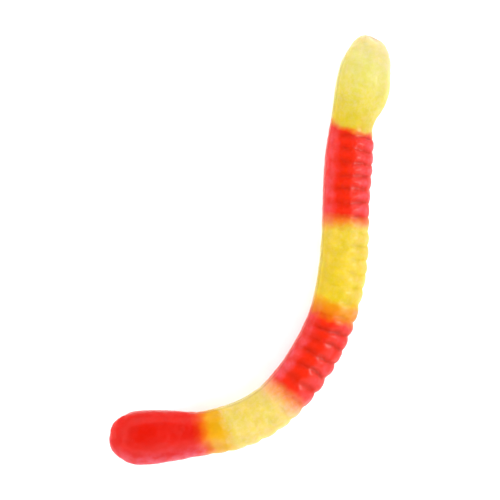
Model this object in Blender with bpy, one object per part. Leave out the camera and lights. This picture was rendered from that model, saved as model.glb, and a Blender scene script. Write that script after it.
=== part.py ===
# A moulded gummy worm, lying on its side and curled in a hook.
#
# The worm is lofted straight along +X, head tip at x = 0. Its flat poured back faces -Y and
# its ribbed moulded crown faces +Y. A guide curve in the XY plane then bends it: the head
# ends up towards +Y, the body runs down towards -Y and the tail turns off towards -X, with
# the crown on the outside of the bend. Sizes are in metres, and +Z is up.

import math
import random

import bmesh
import bpy

mm = 0.001

# Length, measured along the middle of the worm
worm_length = 99.6 * mm
head_tip_length = 8.7 * mm
tail_tip_length = 6.7 * mm
crown_tip_fullness = 2.35
back_tip_fullness = 2.55
height_tip_fullness = 2.3

# Ribs: the ringed stretch between the neck and the waist
rib_start = 18.1 * mm
rib_end = 82.0 * mm
rib_count = 25
rib_crowding = 0.022
rib_wobble = 0.0035
rib_wobble_turns = 4.3
groove_sharpness = 2.2
shallowest_groove = 0.7
deepest_groove = 1.15
groove_seed = 11
ring_phases = (0.0, 0.18, 0.38, 0.62, 0.82)
rib_full_angle = math.radians(66)
rib_end_angle = math.radians(116)

# Section: a full crown, squarer corners at the rims of the flat back, and the shallow hollow
# that the jelly leaves in that back as it sets. Its widest line lies nearer to the back.
widest_line_share = 0.13
crown_fullness = 2.15
back_fullness = 2.6
hollow_depth = 0.4 * mm
hollow_reach = 0.74
hollow_shape = 1.5

# Turning of the bend: distance from the head tip, heading in degrees from -Y towards -X
heading_stations = (
    (0, 13.3), (10, 11.8), (20, 7.6), (28.5, 3.9), (36, 4.6), (44, 10),
    (52, 20), (60, 33.5), (70, 52.8), (80, 73.5), (88, 86.5), (95, 92.5), (100, 95),
)

# Section sizes at distances from the head tip, all in millimetres: from the middle line to
# the rib crests, from the middle line to the flat back, half the height, and the height of
# the middle line over the table
crown_stations = (
    (0, 5.35), (6, 5.25), (9.5, 5.6), (12.5, 4.95), (15.8, 3.8), (19.2, 4.6), (26, 4.85),
    (33, 4.9), (38, 5.3), (50, 5.3), (62, 5.1), (70, 5.3), (76, 5.0), (83.5, 4.1), (88, 4.3),
    (92.8, 4.85), (96, 4.85), (100, 4.35),
)
back_stations = (
    (0, 4.3), (8.5, 4.65), (15.5, 4.15), (22, 4.3), (33, 3.95), (50, 3.6), (59, 3.85), (71, 3.5),
    (79, 4.0), (83, 4.25), (87, 5.05), (91.5, 5.45), (96, 5.15), (100, 4.5),
)
height_stations = ((0, 4.6), (8.6, 4.75), (16.0, 3.95), (21, 4.3), (45, 4.4), (72, 4.35),
                   (83, 4.05), (92.5, 4.85), (100, 4.7))
level_stations = ((0, 4.55), (8.6, 4.65), (18, 4.17), (26, 4.34), (45, 4.42), (72, 4.37),
                  (83, 4.13), (92.5, 4.76), (100, 4.65))
rib_depth_stations = ((18, 0.22), (30, 0.26), (45, 0.34), (55, 0.38), (66, 0.34), (76, 0.28),
                      (82, 0.16))

# How the worm lies: turned a few degrees so that the flat back looks slightly down
back_turned_down = math.radians(4)

# Pours of the two jellies: where each colour ends
pour_ends = (16.5 * mm, 33.5 * mm, 49.5 * mm, 67.5 * mm, 82.0 * mm, worm_length)

# Colours (linear) and surface of the two jellies
yellow_colour = (0.84, 0.66, 0.05)
red_colour = (0.83, 0.02, 0.008)
jelly_roughness = 0.3

# Mesh density
sides = 32
head_tip_rings = 8
head_body_rings = 9
tail_body_rings = 6
tail_tip_rings = 8
guide_steps = 120


def smooth_value(stations, distance):
    """Value at a distance in metres on the smooth curve through (mm, value) stations."""
    x = min(max(distance / mm, stations[0][0]), stations[-1][0])
    last = len(stations) - 1
    i = 0
    while i < last - 1 and x > stations[i + 1][0]:
        i += 1

    def slope(k):
        low, high = max(k - 1, 0), min(k + 1, last)
        rise = stations[high][1] - stations[low][1]
        return rise / (stations[high][0] - stations[low][0])

    (x0, v0), (x1, v1) = stations[i], stations[i + 1]
    span = x1 - x0
    t = (x - x0) / span
    return ((2 * t ** 3 - 3 * t ** 2 + 1) * v0 + (t ** 3 - 2 * t ** 2 + t) * span * slope(i)
            + (3 * t ** 2 - 2 * t ** 3) * v1 + (t ** 3 - t ** 2) * span * slope(i + 1))


def rounding(distance, tip_length, fullness):
    """Share of the full size at a distance from a tip that is rounded over tip_length."""
    if distance >= tip_length:
        return 1.0
    rest = 1.0 - distance / tip_length
    return (1.0 - rest ** fullness) ** (1.0 / fullness)


def end_rounding(distance, fullness):
    head = rounding(distance, head_tip_length, fullness)
    tail = rounding(worm_length - distance, tail_tip_length, fullness)
    return head * tail


def rib_distance(phase):
    """Distance of a rib phase: whole numbers are valleys, halves are crests."""
    u = phase / rib_count
    hump = math.sin(math.pi * u)
    wobble = rib_wobble * math.sin(2 * math.pi * rib_wobble_turns * u)
    return rib_start + (rib_end - rib_start) * (u - (rib_crowding - wobble) * hump)


def valley(phase):
    """1 at the bottom of a groove, 0 on a crest, with a narrow groove and a round crest."""
    fraction = phase % 1.0
    from_groove = 2 * min(fraction, 1 - fraction)
    return (1 - from_groove) ** groove_sharpness


def rib_reach(angle):
    """1 on the crown, fading to 0 before the rims of the flat back."""
    t = (rib_end_angle - abs(angle)) / (rib_end_angle - rib_full_angle)
    t = min(max(t, 0.0), 1.0)
    return t * t * (3 - 2 * t)


def section(distance, groove):
    """Points (y, z) round the worm at a distance, pressed flat where they meet the table."""
    crown = smooth_value(crown_stations, distance) * mm * end_rounding(distance, crown_tip_fullness)
    round_back = end_rounding(distance, back_tip_fullness)
    back = smooth_value(back_stations, distance) * mm * round_back
    round_height = end_rounding(distance, height_tip_fullness)
    half_height = smooth_value(height_stations, distance) * mm * round_height
    widest = 0.5 * (crown - back) - widest_line_share * (crown + back)
    level = smooth_value(level_stations, distance) * mm
    depth = smooth_value(rib_depth_stations, distance) * mm * groove
    points = []
    for k in range(sides):
        angle = 2 * math.pi * k / sides
        if angle > math.pi:
            angle -= 2 * math.pi
        across, up = math.cos(angle), math.sin(angle)
        if across >= 0:
            reach, fullness = crown - widest, crown_fullness
        else:
            reach, fullness = back + widest, back_fullness
        radius = (abs(across / reach) ** fullness + abs(up / half_height) ** fullness)
        radius = radius ** (-1 / fullness) - depth * rib_reach(angle)
        y = radius * across
        z = radius * up
        rim = hollow_reach * half_height
        if across < 0 and abs(z) < rim:
            y += hollow_depth * round_back * (1 - (z / rim) ** 2) ** hollow_shape
        y += widest
        turned_y = y * math.cos(back_turned_down) - z * math.sin(back_turned_down)
        turned_z = z * math.cos(back_turned_down) + y * math.sin(back_turned_down)
        points.append((turned_y, max(level + turned_z, 0.0)))
    return points


def ring_stations():
    """Every ring as (distance, groove), from the head tip to the tail tip."""
    draw = random.Random(groove_seed)
    unevenness = [draw.uniform(shallowest_groove, deepest_groove) for _ in range(rib_count + 1)]
    rings = []
    for k in range(1, head_tip_rings + 1):
        turn = 0.5 * math.pi * k / head_tip_rings
        rings.append((head_tip_length * (1 - math.cos(turn)), 0.0))
    for k in range(1, head_body_rings + 1):
        step = (rib_start - head_tip_length) * k / (head_body_rings + 1)
        rings.append((head_tip_length + step, 0.0))
    for rib in range(rib_count):
        for phase in ring_phases:
            groove = valley(phase) * unevenness[rib + round(phase)]
            rings.append((rib_distance(rib + phase), groove))
    tail_start = worm_length - tail_tip_length
    for k in range(tail_body_rings):
        step = (tail_start - rib_end) * k / tail_body_rings
        rings.append((rib_end + step, unevenness[-1] if k == 0 else 0.0))
    for k in range(tail_tip_rings):
        turn = 0.5 * math.pi * k / tail_tip_rings
        rings.append((tail_start + tail_tip_length * math.sin(turn), 0.0))
    return rings


def tip_point(distance):
    level = smooth_value(level_stations, distance) * mm
    return (distance, 0.0, level)


def pour_index(distance):
    """Which pour of jelly a distance lies in, counted from the head."""
    return sum(1 for end in pour_ends[:-1] if distance > end)


def jelly(name, colour):
    material = bpy.data.materials.new(name)
    material.use_nodes = True
    material.diffuse_color = (*colour, 1.0)
    shader = material.node_tree.nodes["Principled BSDF"]
    shader.inputs["Base Color"].default_value = (*colour, 1.0)
    shader.inputs["Roughness"].default_value = jelly_roughness
    shader.inputs["Metallic"].default_value = 0.0
    return material


def loft_worm(name):
    """The straight worm: rings of one point count, bridged in order and closed at both tips."""
    mesh = bpy.data.meshes.new(name)
    bm = bmesh.new()
    stations = ring_stations()
    rings = []
    for distance, groove in stations:
        points = section(distance, groove)
        rings.append([bm.verts.new((distance, y, z)) for y, z in points])
    for i in range(len(rings) - 1):
        middle = 0.5 * (stations[i][0] + stations[i + 1][0])
        for k in range(sides):
            n = (k + 1) % sides
            face = bm.faces.new((rings[i][k], rings[i][n], rings[i + 1][n], rings[i + 1][k]))
            face.material_index = pour_index(middle) % 2
    for ring, tip_distance in ((rings[0], 0.0), (rings[-1], worm_length)):
        tip = bm.verts.new(tip_point(tip_distance))
        for k in range(sides):
            face = bm.faces.new((ring[k], ring[(k + 1) % sides], tip))
            face.material_index = pour_index(tip_distance) % 2
    bmesh.ops.recalc_face_normals(bm, faces=bm.faces[:])
    bm.to_mesh(mesh)
    bm.free()
    mesh.shade_smooth()
    return bpy.data.objects.new(name, mesh)


def guide_curve(name):
    """The bend: a flat open curve whose heading turns as the heading stations say."""
    data = bpy.data.curves.new(name, "CURVE")
    data.dimensions = "2D"
    spline = data.splines.new("POLY")
    spline.points.add(guide_steps)
    step = worm_length / guide_steps
    x, y = 0.0, 0.0
    for k in range(guide_steps + 1):
        spline.points[k].co = (x, y, 0.0, 1.0)
        heading = math.radians(smooth_value(heading_stations, (k + 0.5) * step))
        x -= step * math.sin(heading)
        y -= step * math.cos(heading)
    guide = bpy.data.objects.new(name, data)
    guide.hide_render = True
    guide.display_type = "WIRE"
    return guide


def footprint_centre(worm):
    """Middle of the bent worm's box in X and Y, before it is moved over the origin."""
    bpy.context.view_layer.update()
    evaluated = worm.evaluated_get(bpy.context.evaluated_depsgraph_get())
    places = [evaluated.matrix_world @ vertex.co for vertex in evaluated.data.vertices]
    xs = [place.x for place in places]
    ys = [place.y for place in places]
    return 0.5 * (min(xs) + max(xs)), 0.5 * (min(ys) + max(ys))


def build():
    for old in list(bpy.data.objects):
        bpy.data.objects.remove(old, do_unlink=True)
    parts = bpy.data.collections.new("gummy_worm_parts")
    guides = bpy.data.collections.new("guides")
    bpy.context.scene.collection.children.link(parts)
    bpy.context.scene.collection.children.link(guides)

    rest = bpy.data.objects.new("resting_place", None)
    worm = loft_worm("gummy_worm")
    guide = guide_curve("bend_guide")
    parts.objects.link(worm)
    guides.objects.link(rest)
    guides.objects.link(guide)
    worm.parent = rest
    guide.parent = rest

    worm.data.materials.append(jelly("yellow_jelly", yellow_colour))
    worm.data.materials.append(jelly("red_jelly", red_colour))

    bend = worm.modifiers.new("bend", "CURVE")
    bend.object = guide
    bend.deform_axis = "POS_X"

    centre_x, centre_y = footprint_centre(worm)
    rest.location = (-centre_x, -centre_y, 0.0)


build()
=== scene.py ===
# A moulded gummy worm in yellow and red jelly, lying curled on its side on a pale table.

import math
import random

import bpy
from mathutils import Matrix, Vector


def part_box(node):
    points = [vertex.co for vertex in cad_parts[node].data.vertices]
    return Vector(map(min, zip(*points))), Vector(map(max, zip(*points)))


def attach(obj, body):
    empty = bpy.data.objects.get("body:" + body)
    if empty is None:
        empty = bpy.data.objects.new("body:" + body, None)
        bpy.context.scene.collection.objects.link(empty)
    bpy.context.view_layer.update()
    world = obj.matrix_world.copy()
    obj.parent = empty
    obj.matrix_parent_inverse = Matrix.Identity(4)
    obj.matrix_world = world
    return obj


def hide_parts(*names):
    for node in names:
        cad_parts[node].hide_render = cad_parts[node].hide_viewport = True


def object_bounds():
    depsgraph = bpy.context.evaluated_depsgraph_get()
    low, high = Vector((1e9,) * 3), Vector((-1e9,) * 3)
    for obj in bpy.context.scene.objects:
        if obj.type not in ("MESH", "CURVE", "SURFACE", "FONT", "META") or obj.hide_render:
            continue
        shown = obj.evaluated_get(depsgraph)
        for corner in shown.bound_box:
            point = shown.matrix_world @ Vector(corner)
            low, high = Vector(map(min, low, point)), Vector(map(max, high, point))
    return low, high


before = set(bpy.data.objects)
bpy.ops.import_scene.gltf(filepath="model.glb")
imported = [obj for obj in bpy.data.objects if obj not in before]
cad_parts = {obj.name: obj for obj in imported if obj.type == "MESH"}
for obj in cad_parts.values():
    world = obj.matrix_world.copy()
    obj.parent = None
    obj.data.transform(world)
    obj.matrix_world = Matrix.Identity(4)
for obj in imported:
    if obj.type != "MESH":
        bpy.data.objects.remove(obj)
cadLow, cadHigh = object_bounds()
scene = bpy.context.scene
mm = 0.001


# Small helpers

def smoothCurve(stations, x):
    # value at x on the smooth curve through (x, value) stations
    x = min(max(x, stations[0][0]), stations[-1][0])
    last = len(stations) - 1
    i = 0
    while i < last - 1 and x > stations[i + 1][0]:
        i += 1

    def slope(k):
        low, high = max(k - 1, 0), min(k + 1, last)
        return (stations[high][1] - stations[low][1]) / (stations[high][0] - stations[low][0])

    (x0, v0), (x1, v1) = stations[i], stations[i + 1]
    span = x1 - x0
    t = (x - x0) / span
    return ((2 * t ** 3 - 3 * t ** 2 + 1) * v0 + (t ** 3 - 2 * t ** 2 + t) * span * slope(i)
            + (3 * t ** 2 - 2 * t ** 3) * v1 + (t ** 3 - t ** 2) * span * slope(i + 1))


def linearColour(hexColour):
    # sRGB hex to the linear values that the shader takes
    parts = [int(hexColour[i:i + 2], 16) / 255 for i in (1, 3, 5)]
    linear = [p / 12.92 if p <= 0.04045 else ((p + 0.055) / 1.055) ** 2.4 for p in parts]
    return (*linear, 1.0)


def addNode(tree, kind, at, settings=None, values=None, links=None):
    # one node with its settings, then values and links by socket name or number. A link comes
    # from an output, or from a node, which gives its first one
    node = tree.nodes.new(kind)
    node.location = at
    for name, value in (settings or {}).items():
        setattr(node, name, value)
    for socket, value in (values or {}).items():
        node.inputs[socket].default_value = value
    for socket, source in (links or {}).items():
        tree.links.new(getattr(source, "outputs", [source])[0], node.inputs[socket])
    return node


def setRamp(node, stops):
    # colour stops as (position, colour) pairs
    ramp = node.color_ramp
    while len(ramp.elements) > 1:
        ramp.elements.remove(ramp.elements[-1])
    ramp.elements[0].position = stops[0][0]
    ramp.elements[0].color = stops[0][1]
    for position, colour in stops[1:]:
        ramp.elements.new(position).color = colour


def onlyActive(obj):
    bpy.ops.object.select_all(action="DESELECT")
    obj.select_set(True)
    bpy.context.view_layer.objects.active = obj


def selectPoints(obj, wanted):
    # picks vertices in code by their place, then opens edit mode on them
    onlyActive(obj)
    bpy.ops.object.mode_set(mode="EDIT")
    bpy.ops.mesh.select_mode(type="VERT")
    bpy.ops.mesh.select_all(action="DESELECT")
    bpy.ops.object.mode_set(mode="OBJECT")
    for vertex in obj.data.vertices:
        vertex.select = wanted(vertex.co)
    bpy.ops.object.mode_set(mode="EDIT")


def applyModifier(obj, name, kind, **settings):
    onlyActive(obj)
    modifier = obj.modifiers.new(name, kind)
    for key, value in settings.items():
        setattr(modifier, key, value)
    bpy.ops.object.modifier_apply(modifier=modifier.name)


# The worm's shape in millimetres and degrees, with the sizes of the CAD solid. Distances run
# from the head tip, and stations are (distance, value) pairs.
worm = {
    "length": 99.6,
    "headTip": 8.7,
    "tailTip": 6.7,
    # a fullness of 2 is an ellipse, and more is squarer
    "crownTipFullness": 2.35,
    "backTipFullness": 2.55,
    "heightTipFullness": 2.3,
    # from the middle line to the rib crests and to the flat back, and half the height
    "crown": ((0, 5.35), (6, 5.25), (9.5, 5.6), (12.5, 4.95), (15.8, 3.8), (19.2, 4.6), (26, 4.85),
              (33, 4.9), (38, 5.3), (50, 5.3), (62, 5.1), (70, 5.3), (76, 5.0), (83.5, 4.1), (88, 4.3),
              (92.8, 4.85), (96, 4.85), (100, 4.35)),
    "back": ((0, 4.3), (8.5, 4.65), (15.5, 4.15), (22, 4.3), (33, 3.95), (50, 3.6), (59, 3.85),
             (71, 3.5), (79, 4.0), (83, 4.25), (87, 5.05), (91.5, 5.45), (96, 5.15), (100, 4.5)),
    "halfHeight": ((0, 4.6), (8.6, 4.75), (16.0, 3.95), (21, 4.3), (45, 4.4), (72, 4.35),
                   (83, 4.05), (92.5, 4.85), (100, 4.7)),
    # section: the hollow and the widest line are shares of its depth from back to crown
    "crownFullness": 2.15,
    "backFullness": 2.6,
    "widestLine": -0.13,
    "hollowDepth": 0.048,
    "hollowReach": 0.74,
    "hollowShape": 1.5,
    # how it lies: height of the middle line over the table, and heading from -Y towards -X
    "level": ((0, 4.55), (8.6, 4.65), (18, 4.17), (26, 4.34), (45, 4.42), (72, 4.37), (83, 4.13),
              (92.5, 4.76), (100, 4.65)),
    "heading": ((0, 13.3), (10, 11.8), (20, 7.6), (28.5, 3.9), (36, 4.6), (44, 10),
                (52, 20), (60, 33.5), (70, 52.8), (80, 73.5), (88, 86.5), (95, 92.5), (100, 95)),
    "backTurnedDown": 4.0,
    "guideSteps": 200,
    # mesh
    "sides": 32,
    "bodyRings": 90,
    "tipRings": 9,
    "firstRing": 0.35,
    "roundings": 2,
    # ribs and the grooves between them
    "ribs": 25,
    "ribStart": 18.1,
    "ribEnd": 82.0,
    "ribCrowding": 0.022,
    "ribWobble": 0.0035,
    "ribWobbleTurns": 4.3,
    "grooveDepth": ((18, 0.22), (30, 0.26), (45, 0.34), (55, 0.38), (66, 0.34), (76, 0.28), (82, 0.16)),
    "shallowest": 0.7,
    "deepest": 1.15,
    "grooveSeed": 11,
    "groovePasses": ((0.6, 1.9), (0.4, -1.1)),
    "grooveReach": 1.25,
    "grooveHalfWidth": 0.17,
    # where the painted shade of a groove ends and where it is full, across the worm, and how it eases off
    "darkEnds": -4.2,
    "darkFull": -0.5,
    "darkFalloff": 1.5,
    "darkByDepth": 0.5,
    # unevenness of a sweet cast in starch: noise size, height and middle level of each kind
    "wavyRings": (3.2, 1.0, 0.5),
    "lumps": (2.6, 0.15, 0.7),
    "pimples": (1.2, 0.11, 0.7),
    "within": 0.9995,
}


def tipShare(x, fullness):
    # share of the full section left at a distance x, rounded off at both tips
    share = 1.0
    for fromTip, tipLength in ((x, worm["headTip"]), (worm["length"] - x, worm["tailTip"])):
        if fromTip < tipLength:
            rest = 1 - fromTip / tipLength
            share *= (1 - rest ** fullness) ** (1 / fullness)
    return share


def ringDistances():
    # close together at the tips, even along the body
    tips, first, length = worm["tipRings"], worm["firstRing"], worm["length"]
    turns = [0.5 * math.pi * (k + first) / (tips + first) for k in range(tips + 1)]
    head = [worm["headTip"] * (1 - math.cos(turn)) for turn in turns]
    tail = [length - worm["tailTip"] * (1 - math.cos(turn)) for turn in reversed(turns)]
    step = (tail[0] - head[-1]) / worm["bodyRings"]
    body = [head[-1] + step * k for k in range(1, worm["bodyRings"])]
    return head + body + tail


def ringSize(x):
    # middle of the section, its depth from back to crown and its height, in metres
    crown = smoothCurve(worm["crown"], x) * tipShare(x, worm["crownTipFullness"])
    back = smoothCurve(worm["back"], x) * tipShare(x, worm["backTipFullness"])
    height = 2 * smoothCurve(worm["halfHeight"], x) * tipShare(x, worm["heightTipFullness"])
    return (crown - back) / 2 * mm, (crown + back) * mm, height * mm


def shapeSection(obj, x):
    # turns the round start disc into the worm's section: a full crown at +Y, squarer rims at the
    # flat back at -Y, and the hollow that the setting jelly leaves in that back
    middle, depth, height = ringSize(x)
    crownReach = 0.5 - worm["widestLine"]
    backReach = 0.5 + worm["widestLine"]
    rim = 0.5 * worm["hollowReach"]
    for vertex in obj.data.vertices:
        y, z = vertex.co.y, vertex.co.z
        radius = math.hypot(y, z)
        if radius < 1e-9:
            continue
        across, up = y / radius, z / radius
        reach, fullness = (crownReach, worm["crownFullness"]) if across >= 0 else \
            (backReach, worm["backFullness"])
        full = (abs(across / reach) ** fullness + abs(up / 0.5) ** fullness) ** (-1 / fullness)
        sectionY = full * across + worm["widestLine"]
        sectionZ = full * up
        if across < 0 and abs(sectionZ) < rim:
            sectionY += worm["hollowDepth"] * (1 - (sectionZ / rim) ** 2) ** worm["hollowShape"]
        vertex.co.y = middle + sectionY * depth
        vertex.co.z = sectionZ * height
    obj.data.update()


def extrudeBody(obj, distances):
    # pulls the section out ring by ring, resizing each to the worm's outline
    onlyActive(obj)
    bpy.ops.object.mode_set(mode="EDIT")
    bpy.ops.mesh.select_mode(type="FACE")
    bpy.ops.mesh.select_all(action="SELECT")
    middle, depth, height = ringSize(distances[0])
    for before, here in zip(distances, distances[1:]):
        nextMiddle, nextDepth, nextHeight = ringSize(here)
        move = ((here - before) * mm, nextMiddle - middle, 0)
        bpy.ops.mesh.extrude_region_move(TRANSFORM_OT_translate={"value": move})
        bpy.ops.transform.resize(value=(1, nextDepth / depth, nextHeight / height),
                                 center_override=(here * mm, nextMiddle, 0))
        middle, depth, height = nextMiddle, nextDepth, nextHeight
    bpy.ops.mesh.select_all(action="SELECT")
    bpy.ops.mesh.normals_make_consistent(inside=False)
    bpy.ops.object.mode_set(mode="OBJECT")


def grooveDistance(k):
    u = k / worm["ribs"]
    wobble = worm["ribWobble"] * math.sin(2 * math.pi * worm["ribWobbleTurns"] * u)
    share = u - (worm["ribCrowding"] - wobble) * math.sin(math.pi * u)
    return worm["ribStart"] + (worm["ribEnd"] - worm["ribStart"]) * share


def pressGrooves(obj):
    # each groove is pressed in along the crown, and softens away towards the flat back
    draw = random.Random(worm["grooveSeed"])
    for k in range(worm["ribs"] + 1):
        x = grooveDistance(k)
        uneven = draw.uniform(worm["shallowest"], worm["deepest"])
        depth = smoothCurve(worm["grooveDepth"], x) * uneven * mm
        for share, line in worm["groovePasses"]:
            selectPoints(obj, lambda co: abs(co.x / mm - x) < worm["grooveHalfWidth"]
                         and co.y / mm > line)
            bpy.ops.transform.shrink_fatten(value=-depth * share, use_proportional_edit=True,
                                            proportional_edit_falloff="SHARP",
                                            proportional_size=worm["grooveReach"] * mm)
            bpy.ops.object.mode_set(mode="OBJECT")


def makeWorm():
    distances = ringDistances()
    bpy.ops.object.select_all(action="DESELECT")
    bpy.ops.mesh.primitive_circle_add(vertices=worm["sides"], radius=1 * mm, fill_type="TRIFAN",
                                      location=(distances[0] * mm, 0, 0),
                                      rotation=(0, math.pi / 2, 0))
    obj = bpy.context.object
    obj.name = "gummyWorm"
    bpy.ops.object.transform_apply(location=True, rotation=True, scale=True)
    shapeSection(obj, distances[0])
    extrudeBody(obj, distances)
    applyModifier(obj, "rounding", "SUBSURF", levels=worm["roundings"], render_levels=worm["roundings"])
    print("worm drawn out:", len(obj.data.vertices), "points")
    pressGrooves(obj)
    print("grooves pressed")
    return obj


def keepSectionPlaces(obj):
    # for the patterns: how far across each point lies, from -1 at the flat back to 1 at the crown,
    # and how deep in a groove, from 0 on a crest to 1, fading towards the back: the mask of the painted
    # groove shade
    lines = [grooveDistance(k) for k in range(worm["ribs"] + 1)]
    deepest = max(depth for _, depth in worm["grooveDepth"])
    crossings = obj.data.attributes.new("across", "FLOAT", "POINT")
    grooves = obj.data.attributes.new("groove", "FLOAT", "POINT")
    for vertex, crossing, groove in zip(obj.data.vertices, crossings.data, grooves.data):
        x, y = vertex.co.x / mm, vertex.co.y / mm
        middle, depth, _ = ringSize(x)
        crossing.value = (vertex.co.y - middle) / (depth / 2) if depth > 0 else 0.0
        nearest = min(abs(x - line) for line in lines)
        near = max(0, 1 - nearest / worm["grooveReach"]) ** worm["darkFalloff"]
        share = (y - worm["darkEnds"]) / (worm["darkFull"] - worm["darkEnds"])
        pressed = smoothCurve(worm["grooveDepth"], x) / deepest
        groove.value = near * min(max(share, 0), 1) * pressed ** worm["darkByDepth"]


def makeUneven(obj):
    # rings that run a little wavy, then low lumps all over that stay inside the solid
    for name, direction in (("wavyRings", "X"), ("lumps", "NORMAL"), ("pimples", "NORMAL")):
        size, height, level = worm[name]
        clouds = bpy.data.textures.new(name, "CLOUDS")
        clouds.noise_scale = size * mm
        clouds.noise_depth = 1
        applyModifier(obj, name, "DISPLACE", texture=clouds, texture_coords="LOCAL",
                      direction=direction, strength=height * mm, mid_level=level)


def keepStraightPlaces(obj):
    # the place of each point in the straight worm, in mm, for patterns that follow the jelly
    places = obj.data.attributes.new("straight", "FLOAT_VECTOR", "POINT")
    for vertex, place in zip(obj.data.vertices, places.data):
        place.vector = vertex.co / mm


def bendGuide():
    # a guide curve whose heading turns as the worm's does, rising and dipping with its middle line
    data = bpy.data.curves.new("bendGuide", "CURVE")
    data.dimensions = "3D"
    data.twist_mode = "Z_UP"
    spline = data.splines.new("POLY")
    steps = worm["guideSteps"]
    spline.points.add(steps)
    step = worm["length"] / steps
    x, y = 0.0, 0.0
    for k in range(steps + 1):
        rise = smoothCurve(worm["level"], k * step)
        spline.points[k].co = (x * mm, y * mm, rise * mm, 1)
        spline.points[k].tilt = math.radians(worm["backTurnedDown"])
        heading = math.radians(smoothCurve(worm["heading"], (k + 0.5) * step))
        x -= step * math.sin(heading)
        y -= step * math.cos(heading)
    guide = bpy.data.objects.new("bendGuide", data)
    scene.collection.objects.link(guide)
    return guide


def pressOnTable(obj):
    # soft jelly goes flat where it meets the table
    selectPoints(obj, lambda co: co.z < 0)
    bpy.ops.transform.resize(value=(1, 1, 0), center_override=(0, 0, 0))
    bpy.ops.object.mode_set(mode="OBJECT")


def moveOverSolid(obj):
    # the bent worm goes where the solid lies, eased in where its unevenness reaches past the solid
    low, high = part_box("gummy_worm")
    xs = [vertex.co.x for vertex in obj.data.vertices]
    ys = [vertex.co.y for vertex in obj.data.vertices]
    middle = ((low.x + high.x) / 2, (low.y + high.y) / 2, 0)
    move = (middle[0] - (min(xs) + max(xs)) / 2, middle[1] - (min(ys) + max(ys)) / 2, 0)
    ease = (min(1, worm["within"] * (high.x - low.x) / (max(xs) - min(xs))),
            min(1, worm["within"] * (high.y - low.y) / (max(ys) - min(ys))), 1)
    selectPoints(obj, lambda co: True)
    bpy.ops.transform.translate(value=move)
    bpy.ops.transform.resize(value=ease, center_override=middle)
    bpy.ops.object.mode_set(mode="OBJECT")


gummy = makeWorm()
keepSectionPlaces(gummy)
makeUneven(gummy)
keepStraightPlaces(gummy)
guide = bendGuide()
applyModifier(gummy, "bend", "CURVE", object=guide, deform_axis="POS_X")
bpy.data.objects.remove(guide, do_unlink=True)
pressOnTable(gummy)
moveOverSolid(gummy)
onlyActive(gummy)
bpy.ops.object.shade_smooth()
print("worm bent and laid down")


# Looks of the jelly, with places and sizes in millimetres
jelly = {
    # pours: distance from the head tip and colour. The darker first and last stops are painted shade
    # round the tips, and the paler, bluer head tip is partly a painted highlight
    "pours": (
        (0.0, "#8E8058"), (0.8, "#A39B65"), (5.0, "#A7A356"), (10.0, "#A79F3A"), (14.0, "#A49626"),
        (15.9, "#A69418"), (16.6, "#AC5A0C"), (17.4, "#B01B02"), (31.9, "#B01B02"),
        (33.4, "#AE5A10"), (35.0, "#A89420"), (47.0, "#A89414"), (48.3, "#AC7404"),
        (50.2, "#AE5B00"), (51.4, "#B01B02"), (64.8, "#B01B02"), (66.4, "#B05F24"),
        (68.2, "#AE9050"), (69.8, "#AA9A42"), (77.6, "#AA9A40"), (79.4, "#AC8306"),
        (81.2, "#AC7C04"), (82.2, "#AE5802"), (83.8, "#AA2601"), (85.2, "#A60D00"),
        (99.1, "#A60D00"), (99.6, "#8C0610")),
    # slants: how far the join of two pours runs on towards the tail, for each mm to the crown
    "slants": ((0.0, 0.2), (20.0, 0.2), (33.5, 0.0), (49.5, 0.08), (67.5, -0.12), (80.0, 0.0),
               (99.6, 0.0)),
    "wander": 2.8,
    # pale colour of the milkiness, and of the painted sheen in the bloom
    "milkAndSheen": "#B89CC2",
    # bloom and painted sheen, a pale veil partly of starch and partly painted highlight and reflection:
    # distance, share on the crown, share on the back's rims, and how much nearer to the edge the crown's
    # begins
    "bloomAndSheen": (
        (0.0, 0.04, 0.0, 0.0), (15.0, 0.02, 0.0, 0.0), (18.0, 0.07, 0.05, 0.0),
        (32.0, 0.07, 0.06, 0.0), (36.0, 0.08, 0.0, 0.0), (48.0, 0.07, 0.0, 0.0),
        (52.0, 0.05, 0.04, 0.0), (64.0, 0.06, 0.09, 0.0), (68.0, 0.11, 0.04, 0.0),
        (71.0, 0.04, 0.02, 0.0), (80.0, 0.06, 0.0, 0.0), (86.0, 0.15, 0.0, 0.3),
        (99.6, 0.06, 0.0, 0.3)),
    "bloomDrift": 0.7,
    # noises: size, detail and roughness. The grain of real starch is far finer, and it is drawn
    # as coarse as it needs to show
    "noises": {
        "waver": (3.0, 2.0, 0.5),
        "clouds": (2.2, 3.0, 0.6),
        "grain": (0.7, 2.0, 0.6),
        "drift": (2.2, 2.0, 0.5),
        "patches": (1.2, 2.0, 0.5),
    },
    # ranges: values between the first two become values between the last two
    "ranges": {
        "cloudMilk": (0.4, 0.68, 0.0, 0.03),
        "grainMilk": (0.42, 0.66, 0.0, 0.1),
        "milkByBlue": (0.0, 0.03, 0.04, 1.0),
        "onCrown": (0.05, 0.95, 0.0, 1.0),
        "onBack": (-0.3, -0.8, 0.0, 1.0),
        "onEdge": (-0.83, -0.94, 0.0, 0.55),
        "onRim": (1.6, 3.0, 0.0, 1.0),
        "inPatches": (0.36, 0.64, 0.5, 1.5),
        "onCrests": (0.0, 0.8, 1.0, 0.0),
        "cloudShade": (0.35, 0.6, 0.93, 1.0),
        "darkByGreen": (0.0, 0.14, 0.26, -0.08),
        "broken": (0.35, 0.65, 0.3, 1.5),
        "paintedCrownShade": (0.25, 1.0, 1.0, 0.8),
        "paintedBackShade": (-0.45, -0.95, 1.0, 0.9),
        "sheen": (0.35, 0.65, 0.3, 0.45),
    },
    "pitDepth": 0.02,
    "ior": 1.42,
    "specularLevel": 0.03,
    "oil": 0.16,
    "oilRoughness": 0.25,
    # how far light spreads inside, in metres, and the shares of it for red, green and blue
    "scatter": 0.005,
    "scatterShares": (1.0, 0.5, 0.22),
}


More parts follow.
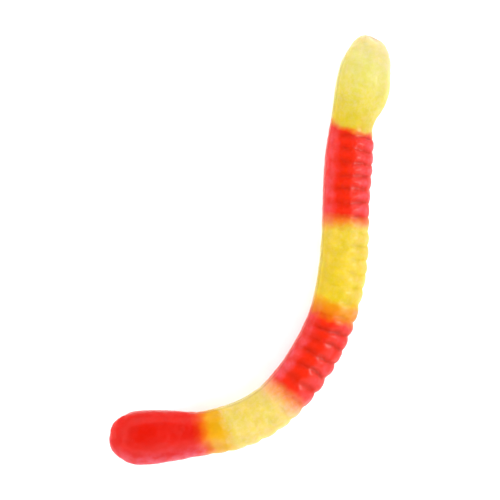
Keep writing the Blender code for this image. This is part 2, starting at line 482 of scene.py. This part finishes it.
def jellyMaterial():
    # Gelatine jelly cast in starch. Light goes in and spreads, red the farthest, so the pours glow
    # and their joins blur. The starch leaves a milky, satin skin, and the oil that keeps the sweets
    # apart puts soft highlights on the ribs. Shade in the grooves, on the sides and along the back's
    # rims is painted into the colour, and the pale veil on crests and rims is partly painted highlight.
    material = bpy.data.materials.new("gelatineJellyCastInStarch")
    material.use_nodes = True
    tree = material.node_tree
    tree.nodes.clear()
    length = worm["length"]
    plus, minus, times, over, timesPlus = ({"operation": name} for name in (
        "ADD", "SUBTRACT", "MULTIPLY", "DIVIDE", "MULTIPLY_ADD"))
    fromTo = ("From Min", "From Max", "To Min", "To Max")
    ranges = {name: dict(zip(fromTo, ends)) for name, ends in jelly["ranges"].items()}
    smooth = {"interpolation_type": "SMOOTHSTEP"}

    # What the surface knows of its place in the straight worm, and noises over those places
    kept = {}
    for row, name in enumerate(("straight", "across", "groove")):
        kept[name] = addNode(tree, "ShaderNodeAttribute", (-2600, 300 - 250 * row),
                             {"attribute_name": name})
    place = kept["straight"].outputs["Vector"]
    across = kept["across"].outputs["Fac"]
    groove = kept["groove"].outputs["Fac"]
    split = addNode(tree, "ShaderNodeSeparateXYZ", (-2400, 300), links={"Vector": place})
    noise = {}
    for row, (name, (size, detail, roughness)) in enumerate(jelly["noises"].items()):
        noise[name] = addNode(tree, "ShaderNodeTexNoise", (-2400, -100 - 300 * row), values={
            "Scale": 1 / size, "Detail": detail, "Roughness": roughness}, links={"Vector": place})

    # Pours run into one another: slanting, wavering joins with an orange blend. A ramp can't hold
    # a value below 0, so the slants in it lie around its middle
    level = 0.5
    along = addNode(tree, "ShaderNodeMath", (-2200, 700), over, {1: length}, {0: split.outputs["X"]})
    slants = addNode(tree, "ShaderNodeValToRGB", (-2000, 700), links={"Fac": along})
    setRamp(slants, [(at / length, (level + slant,) * 3 + (1.0,)) for at, slant in jelly["slants"]])
    lean = addNode(tree, "ShaderNodeMath", (-1700, 700), minus, {0: level}, {1: slants})
    leant = addNode(tree, "ShaderNodeMath", (-1500, 700), timesPlus,
                    links={0: lean, 1: split.outputs["Y"], 2: split.outputs["X"]})
    centred = addNode(tree, "ShaderNodeMath", (-1500, 500), minus, {1: level}, {0: noise["waver"]})
    shifted = addNode(tree, "ShaderNodeMath", (-1300, 600), timesPlus, {1: jelly["wander"]},
                      {0: centred, 2: leant})
    share = addNode(tree, "ShaderNodeMath", (-1100, 600), over, {1: length}, {0: shifted})
    pours = addNode(tree, "ShaderNodeValToRGB", (-900, 600), links={"Fac": share})
    setRamp(pours, [(at / length, linearColour(colour)) for at, colour in jelly["pours"]])
    parts = addNode(tree, "ShaderNodeSeparateColor", (-600, 400), links={"Color": pours})

    # Fine bubbles and starch inside turn the jelly milky in soft clouds and in a fine grain, least
    # in the pours with no blue in them, which are the deep red and the golden ones
    cloudMilk = addNode(tree, "ShaderNodeMapRange", (-1300, 350), {}, ranges["cloudMilk"],
                        {"Value": noise["clouds"]})
    grainMilk = addNode(tree, "ShaderNodeMapRange", (-1300, 100), {}, ranges["grainMilk"],
                        {"Value": noise["grain"]})
    bothMilks = addNode(tree, "ShaderNodeMath", (-1100, 200), plus, links={0: cloudMilk, 1: grainMilk})
    milkByBlue = addNode(tree, "ShaderNodeMapRange", (-400, 400), {}, ranges["milkByBlue"],
                         {"Value": parts.outputs["Blue"]})
    innerMilk = addNode(tree, "ShaderNodeMath", (-200, 250), times, links={0: bothMilks, 1: milkByBlue})

    # Starch bloom and painted sheen: a patchy pale veil with ragged bounds on the crests of the moulded
    # crown, and along the rims of the poured back, partly bloom and partly painted highlight and reflection
    bloomAndSheen = addNode(tree, "ShaderNodeValToRGB", (-2000, 200), links={"Fac": along})
    setRamp(bloomAndSheen, [(at / length, (crown, back, later, 1.0))
                    for at, crown, back, later in jelly["bloomAndSheen"]])
    shares = addNode(tree, "ShaderNodeSeparateColor", (-1700, 200), links={"Color": bloomAndSheen})
    drifted = addNode(tree, "ShaderNodeMath", (-2000, -150), timesPlus,
                      {1: jelly["bloomDrift"], 2: -jelly["bloomDrift"] / 2}, {0: noise["drift"]})
    ragged = addNode(tree, "ShaderNodeMath", (-1800, -100), plus, links={0: across, 1: drifted})
    later = addNode(tree, "ShaderNodeMath", (-1500, 0), minus, links={0: ragged, 1: shares.outputs["Blue"]})
    onCrown = addNode(tree, "ShaderNodeMapRange", (-1300, -150), smooth, ranges["onCrown"],
                      {"Value": later})
    onBack = addNode(tree, "ShaderNodeMapRange", (-1300, -400), smooth, ranges["onBack"],
                     {"Value": ragged})
    fromMiddle = addNode(tree, "ShaderNodeMath", (-1500, -650), {"operation": "ABSOLUTE"},
                         links={0: split.outputs["Z"]})
    onRim = addNode(tree, "ShaderNodeMapRange", (-1300, -650), {}, ranges["onRim"],
                    {"Value": fromMiddle})
    crownBloomAndSheen = addNode(tree, "ShaderNodeMath", (-1100, -100), times,
                         links={0: onCrown, 1: shares.outputs["Red"]})
    backBloomAndSheen = addNode(tree, "ShaderNodeMath", (-1100, -300), times,
                        links={0: onBack, 1: shares.outputs["Green"]})
    rimBloomAndSheen = addNode(tree, "ShaderNodeMath", (-900, -300), times, links={0: backBloomAndSheen, 1: onRim})

    # Painted shade on the rims of the poured back: a dark thread along the inside of the bend
    onEdge = addNode(tree, "ShaderNodeMapRange", (-1300, -900), {}, ranges["onEdge"],
                     {"Value": across})
    rimDark = addNode(tree, "ShaderNodeMath", (-1100, -800), times, links={0: onEdge, 1: onRim})
    paintedRimShade = addNode(tree, "ShaderNodeMath", (-900, -800), minus, {0: 1.0}, {1: rimDark})

    # bloom and painted sheen together, thinned on the shaded rims, in patches and kept off the grooves
    bothBloomsAndSheen = addNode(tree, "ShaderNodeMath", (-700, -200), timesPlus,
                         links={0: rimBloomAndSheen, 1: paintedRimShade, 2: crownBloomAndSheen})
    inPatches = addNode(tree, "ShaderNodeMapRange", (-700, -400), {}, ranges["inPatches"],
                        {"Value": noise["patches"]})
    patchy = addNode(tree, "ShaderNodeMath", (-500, -200), times, links={0: bothBloomsAndSheen, 1: inPatches})
    onCrests = addNode(tree, "ShaderNodeMapRange", (-500, -400), {}, ranges["onCrests"],
                       {"Value": groove})
    outerMilkAndSheen = addNode(tree, "ShaderNodeMath", (-200, -200), times, links={0: patchy, 1: onCrests})
    milkAndSheen = addNode(tree, "ShaderNodeMath", (0, 100), plus, links={0: innerMilk, 1: outerMilkAndSheen})
    veiled = addNode(tree, "ShaderNodeMix", (200, 500), {"data_type": "RGBA"},
                    {7: linearColour(jelly["milkAndSheen"])}, {0: milkAndSheen, 6: pours})

    # Painted shade: grooves darker than the crests of the ribs, most in the red and a touch lighter in
    # the yellow, and both sides darker too, over a tone that varies at random in clouds
    cloudShade = addNode(tree, "ShaderNodeMapRange", (-500, -700), {}, ranges["cloudShade"],
                         {"Value": noise["clouds"]})
    darkByGreen = addNode(tree, "ShaderNodeMapRange", (-500, -950), {}, ranges["darkByGreen"],
                          {"Value": parts.outputs["Green"]})
    broken = addNode(tree, "ShaderNodeMapRange", (-500, -1200), {}, ranges["broken"],
                     {"Value": noise["clouds"]})
    dark = addNode(tree, "ShaderNodeMath", (-300, -950), times, links={0: groove, 1: darkByGreen})
    brokenDark = addNode(tree, "ShaderNodeMath", (-100, -950), times, links={0: dark, 1: broken})
    paintedGrooveShade = addNode(tree, "ShaderNodeMath", (100, -950), minus, {0: 1.0}, {1: brokenDark})
    # painted shade: darker towards the crown's edge and on the inside of the bend
    paintedCrownShade = addNode(tree, "ShaderNodeMapRange", (-100, -1200), {}, ranges["paintedCrownShade"],
                         {"Value": across})
    paintedBackShade = addNode(tree, "ShaderNodeMapRange", (100, -1200), smooth, ranges["paintedBackShade"],
                        {"Value": across})
    shade = cloudShade
    for column, other in enumerate((paintedGrooveShade, paintedCrownShade, paintedBackShade, paintedRimShade)):
        shade = addNode(tree, "ShaderNodeMath", (300 + 200 * column, -700), times,
                        links={0: shade, 1: other})
    colour = addNode(tree, "ShaderNodeVectorMath", (1100, 400), {"operation": "SCALE"},
                     links={0: veiled.outputs[2], "Scale": shade})

    # Oil over starch pits: a sheen that breaks up, more satin than glass
    sheen = addNode(tree, "ShaderNodeMapRange", (900, 0), {}, ranges["sheen"],
                    {"Value": noise["grain"]})
    pits = addNode(tree, "ShaderNodeBump", (900, -300), values={
        "Strength": 1.0, "Distance": jelly["pitDepth"] * mm}, links={"Height": noise["grain"]})
    skin = addNode(tree, "ShaderNodeBsdfPrincipled", (1350, 200), values={
        "IOR": jelly["ior"], "Specular IOR Level": jelly["specularLevel"],
        "Subsurface Weight": 1.0, "Subsurface Scale": jelly["scatter"],
        "Subsurface Radius": jelly["scatterShares"],
        "Coat Weight": jelly["oil"], "Coat Roughness": jelly["oilRoughness"]},
        links={"Base Color": colour, "Roughness": sheen, "Normal": pits})
    addNode(tree, "ShaderNodeOutputMaterial", (1700, 200), links={"Surface": skin})
    return material


gummy.data.materials.clear()
gummy.data.materials.append(jellyMaterial())
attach(gummy, "root")
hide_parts("gummy_worm")
print("jelly poured")


# Table, light and camera. The walls are (height, brightness) pairs, where 1 is straight up.
stage = {
    "tableSize": 3.0,
    "tableColour": "#F4F3F3",
    "tableSpeck": "#EFEEEE",
    "speckSize": 4.0,
    "speckDetail": 3.0,
    "speckSpan": (0.35, 0.65),
    "tableRoughness": 0.65,
    "walls": ((0.0, 0.8), (0.25, 2.0), (0.45, 4.2), (0.64, 4.2), (0.8, 1.8), (0.92, 0.4), (1.0, 0.1)),
    "brightSide": -50.0,
    "brightSpan": (-1.0, 0.6),
    "farSide": 0.95,
    "keyEnergy": 2.2,
    "keySize": 0.07,
    "keyDistance": 0.75,
    "keyAzimuth": 0.0,
    "keyElevation": 42.0,
}


def tableMaterial():
    # Matte white laminate: a plain pale ground with the faintest cloudiness
    material = bpy.data.materials.new("matteWhiteLaminate")
    material.use_nodes = True
    tree = material.node_tree
    tree.nodes.clear()
    place = addNode(tree, "ShaderNodeTexCoord", (-900, 0)).outputs["Object"]
    specks = addNode(tree, "ShaderNodeTexNoise", (-700, 0), values={
        "Scale": 1 / (stage["speckSize"] * mm), "Detail": stage["speckDetail"]}, links={"Vector": place})
    colour = addNode(tree, "ShaderNodeValToRGB", (-450, 0), links={"Fac": specks})
    setRamp(colour, list(zip(stage["speckSpan"], (linearColour(stage["tableSpeck"]),
                                                  linearColour(stage["tableColour"])))))
    face = addNode(tree, "ShaderNodeBsdfPrincipled", (-100, 0), values={
        "Roughness": stage["tableRoughness"]}, links={"Base Color": colour})
    addNode(tree, "ShaderNodeOutputMaterial", (250, 0), links={"Surface": face})
    return material


bpy.ops.object.select_all(action="DESELECT")
bpy.ops.mesh.primitive_plane_add(size=stage["tableSize"], location=(0, 0, 0))
table = bpy.context.object
table.name = "tableTop"
table.data.materials.append(tableMaterial())
print("table laid")

# White walls, a little brighter at the lower right, and a dim ceiling over the camera, so that the
# tops of the worm keep their colour
brightSide = math.radians(stage["brightSide"])
brightest = max(level for _, level in stage["walls"])
world = bpy.data.worlds.new("whiteStudioRoom")
scene.world = world
world.use_nodes = True
room = world.node_tree
room.nodes.clear()
towards = addNode(room, "ShaderNodeTexCoord", (-1100, 0)).outputs["Generated"]
split = addNode(room, "ShaderNodeSeparateXYZ", (-900, 100), links={"Vector": towards})
walls = addNode(room, "ShaderNodeValToRGB", (-700, 100), links={"Fac": split.outputs["Z"]})
setRamp(walls, [(at, (level / brightest,) * 3 + (1.0,)) for at, level in stage["walls"]])
facing = addNode(room, "ShaderNodeVectorMath", (-900, -150), {"operation": "DOT_PRODUCT"},
                 {1: (math.cos(brightSide), math.sin(brightSide), 0)}, {0: towards})
side = addNode(room, "ShaderNodeMapRange", (-700, -150), {}, {
    "From Min": stage["brightSpan"][0], "From Max": stage["brightSpan"][1],
    "To Min": brightest * stage["farSide"], "To Max": brightest}, {"Value": facing.outputs["Value"]})
wallLight = addNode(room, "ShaderNodeBackground", (-350, 0), links={"Color": walls, "Strength": side})
addNode(room, "ShaderNodeOutputWorld", (-100, 0), links={"Surface": wallLight})

azimuth, elevation = math.radians(stage["keyAzimuth"]), math.radians(stage["keyElevation"])
towardsKey = Vector((math.cos(azimuth) * math.cos(elevation), math.sin(azimuth) * math.cos(elevation),
                     math.sin(elevation)))
bpy.ops.object.light_add(type="AREA", location=towardsKey * stage["keyDistance"])
keyLight = bpy.context.object
keyLight.name = "keySoftbox"
keyLight.data.shape = "SQUARE"
keyLight.data.size = stage["keySize"]
keyLight.data.energy = stage["keyEnergy"]
keyLight.rotation_euler = towardsKey.to_track_quat("Z", "Y").to_euler()
print("room lit")

# The camera stands where the photo was taken from, which is up and to the left of this worm
view = {
    "height": 0.5,
    "leftOf": 0.041,
    "above": 0.026,
    "frameWidth": 0.089,
    "nearest": 0.01,
    "farthest": 10.0,
    "pixels": 500,
}
bpy.ops.object.camera_add()
camera = bpy.context.object
target = (cadLow + cadHigh) / 2
eye = Vector((target.x - view["leftOf"], target.y + view["above"], view["height"]))
gaze = eye - target
out = gaze.normalized()
right = Vector((0, 1, 0)).cross(out).normalized()
camera.matrix_world = Matrix.Translation(eye) @ Matrix((right, out.cross(right), out)).transposed().to_4x4()
camera.data.lens = camera.data.sensor_width * gaze.length / view["frameWidth"]
camera.data.clip_start = view["nearest"]
camera.data.clip_end = view["farthest"]
scene.camera = camera
scene.view_settings.view_transform = "Standard"
print("image", view["pixels"], "x", view["pixels"])
